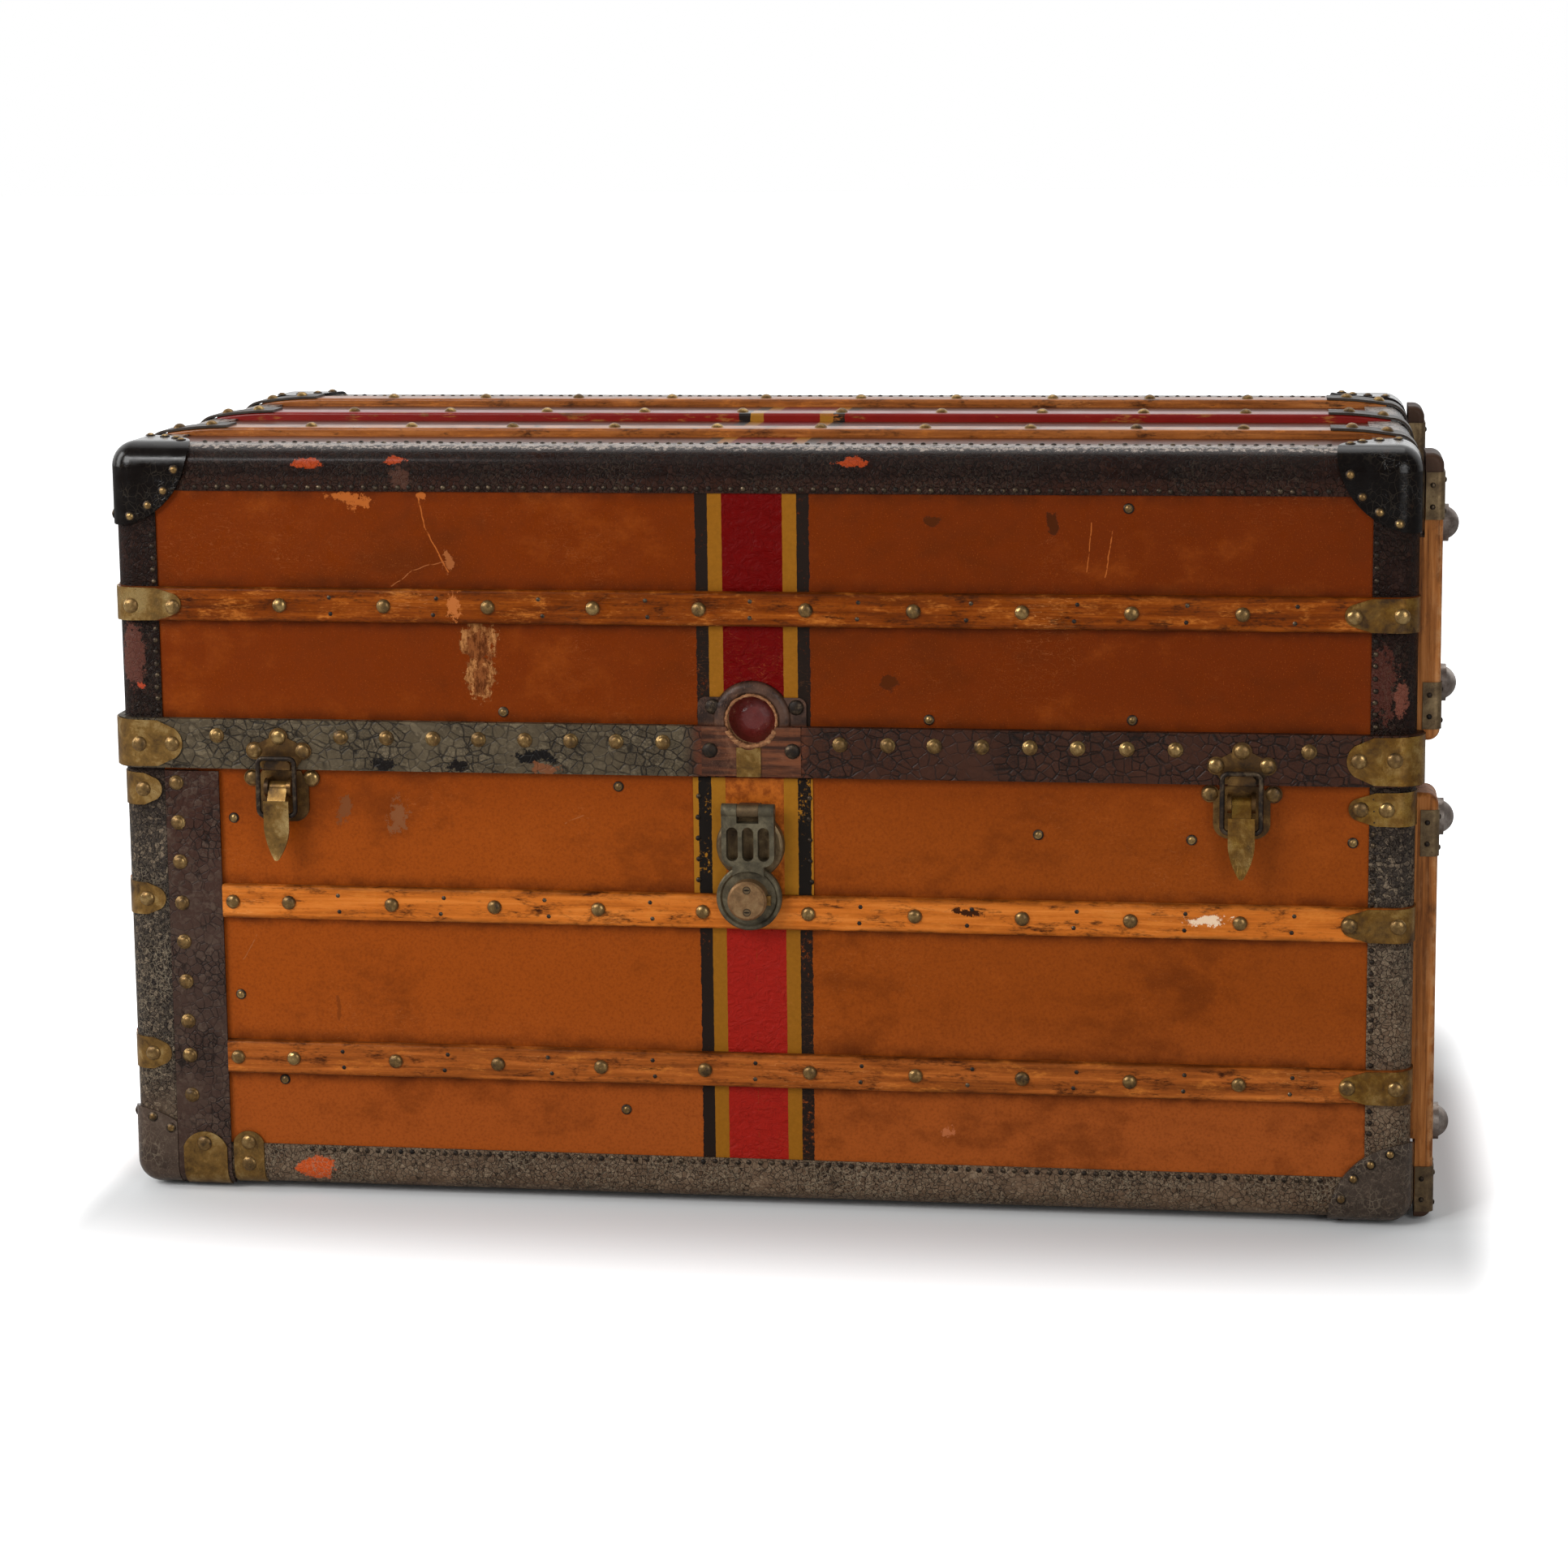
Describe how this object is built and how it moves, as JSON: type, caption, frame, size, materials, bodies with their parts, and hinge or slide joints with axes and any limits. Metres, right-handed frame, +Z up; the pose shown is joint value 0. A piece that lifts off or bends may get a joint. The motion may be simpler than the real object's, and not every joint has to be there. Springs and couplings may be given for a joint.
{
  "type": "travel trunk",
  "caption": "Wardrobe-style travel trunk lying on its long side: slatted canvas carcass, hinged lid and end flap, draw latches, hasp lock, end battens with glides.",
  "frame": {"origin": "middle of the underside of the whole trunk, where its runners meet the floor", "axes": "+X along the length towards the end with the glides, +Z up, the lock and latches face -Y"},
  "size_m": [1.1398, 0.5684, 0.665],
  "materials": {
    "board": "plain sawn board",
    "coated_canvas": "orange-brown coated canvas, worn satin",
    "lining": "cotton ticking",
    "binding": "dark brown leather, cracked",
    "cap": "black hide pressed over the corner, worn",
    "slat": "amber varnish, stained",
    "batten": "worn varnish",
    "brass": "aged, brown patina",
    "old_brass": "dull brown patina",
    "steel": "worn grey steel",
    "dark_iron": "blackened iron, rubbed edges",
    "valance": "cracked leather over wood",
    "fibre": "dark vulcanised fibre",
    "patch": "painted canvas patch",
    "red_dome": "dark red paint",
    "lock_skin": "smooth copper-brown hide"
  },
  "bodies": {
    "body": {"body_front_panel": "board", "body_back_panel": "board", "body_right_panel": "board", "body_bottom_panel": "board", "body_left_rail": "board", "body_canvas": "coated_canvas", "body_lining": "lining", "body_edge_binding": "binding", "body_corner_caps": "cap", "body_wall_slats": "slat", "body_runners": "slat", "body_clamps": "brass", "body_glides": "steel", "body_battens": "batten", "body_batten_plates": "old_brass", "lock_patch": "patch", "hasp_mount": "old_brass", "latch_bases": "brass", "body_hinge_leaves": "old_brass", "pivot_pins": "steel"},
    "lid": {"lid_front_panel": "board", "lid_back_panel": "board", "lid_end_panels": "board", "lid_top_panel": "board", "lid_canvas": "coated_canvas", "lid_lining": "lining", "lid_edge_binding": "binding", "lid_corner_caps": "cap", "lid_wall_slats": "slat", "lid_top_slats": "slat", "lid_clamps": "brass", "lid_top_clamps": "fibre", "lid_top_rivets": "brass", "lid_valance": "valance", "valance_caps": "brass", "lid_glides": "steel", "lid_battens": "batten", "lid_batten_plates": "old_brass", "lock_escutcheon": "lock_skin", "lock_cup": "red_dome", "strike_tongue": "brass", "latch_keepers": "brass", "lid_hinge_leaves": "old_brass"},
    "end_flap": {"flap_end_panel": "board", "flap_returns": "board", "flap_canvas": "coated_canvas", "flap_edge_binding": "binding", "flap_corner_caps": "cap", "flap_end_slats": "slat", "flap_clamps": "brass", "flap_seam_strip": "valance", "flap_strip_cap": "brass", "flap_hinge_leaves": "old_brass"},
    "hasp": {"hasp_casting": "dark_iron", "lock_boss": "dark_iron"},
    "lock_bolt": {"lock_bolt": "brass"},
    "latch_lever_left": {"latch_lever_left": "brass"},
    "latch_bail_left": {"latch_bail_left": "steel"},
    "latch_lever_right": {"latch_lever_right": "brass"},
    "latch_bail_right": {"latch_bail_right": "steel"}
  },
  "joints": [
    {"name": "lid_hinge", "type": "hinge", "parent": "body", "child": "lid", "pos_m": [-0.0127, 0.27925, 0.385], "axis": [-1, 0, 0], "range_deg": [0, 95]},
    {"name": "flap_hinge", "type": "hinge", "parent": "body", "child": "end_flap", "pos_m": [-0.495, 0.27925, 0.196], "axis": [0, 0, -1], "range_deg": [0, 95]},
    {"name": "hasp_hinge", "type": "hinge", "parent": "body", "child": "hasp", "pos_m": [-0.0147, -0.27025, 0.3503], "axis": [-1, 0, 0], "range_deg": [0, 180]},
    {"name": "lock_bolt_slide", "type": "slide", "parent": "hasp", "child": "lock_bolt", "axis": [-1, 0, 0], "range_m": [0, 0.003], "stiffness_N_per_m": 150},
    {"name": "latch_lever_left_hinge", "type": "hinge", "parent": "body", "child": "latch_lever_left", "pos_m": [-0.4207, -0.26425, 0.3623], "axis": [-1, 0, 0], "range_deg": [0, 110]},
    {"name": "latch_bail_left_hinge", "type": "hinge", "parent": "latch_lever_left", "child": "latch_bail_left", "pos_m": [-0.4207, -0.27275, 0.3393], "axis": [-1, 0, 0], "range_deg": [-132, 0]},
    {"name": "latch_lever_right_hinge", "type": "hinge", "parent": "body", "child": "latch_lever_right", "pos_m": [0.3953, -0.26425, 0.3623], "axis": [-1, 0, 0], "range_deg": [0, 110]},
    {"name": "latch_bail_right_hinge", "type": "hinge", "parent": "latch_lever_right", "child": "latch_bail_right", "pos_m": [0.3953, -0.27275, 0.3393], "axis": [-1, 0, 0], "range_deg": [-132, 0]}
  ],
  "couplings": [
    {"joint": "latch_bail_left_hinge", "follows": "latch_lever_left_hinge", "ratio": -1.2},
    {"joint": "latch_bail_right_hinge", "follows": "latch_lever_right_hinge", "ratio": -1.2}
  ]
}
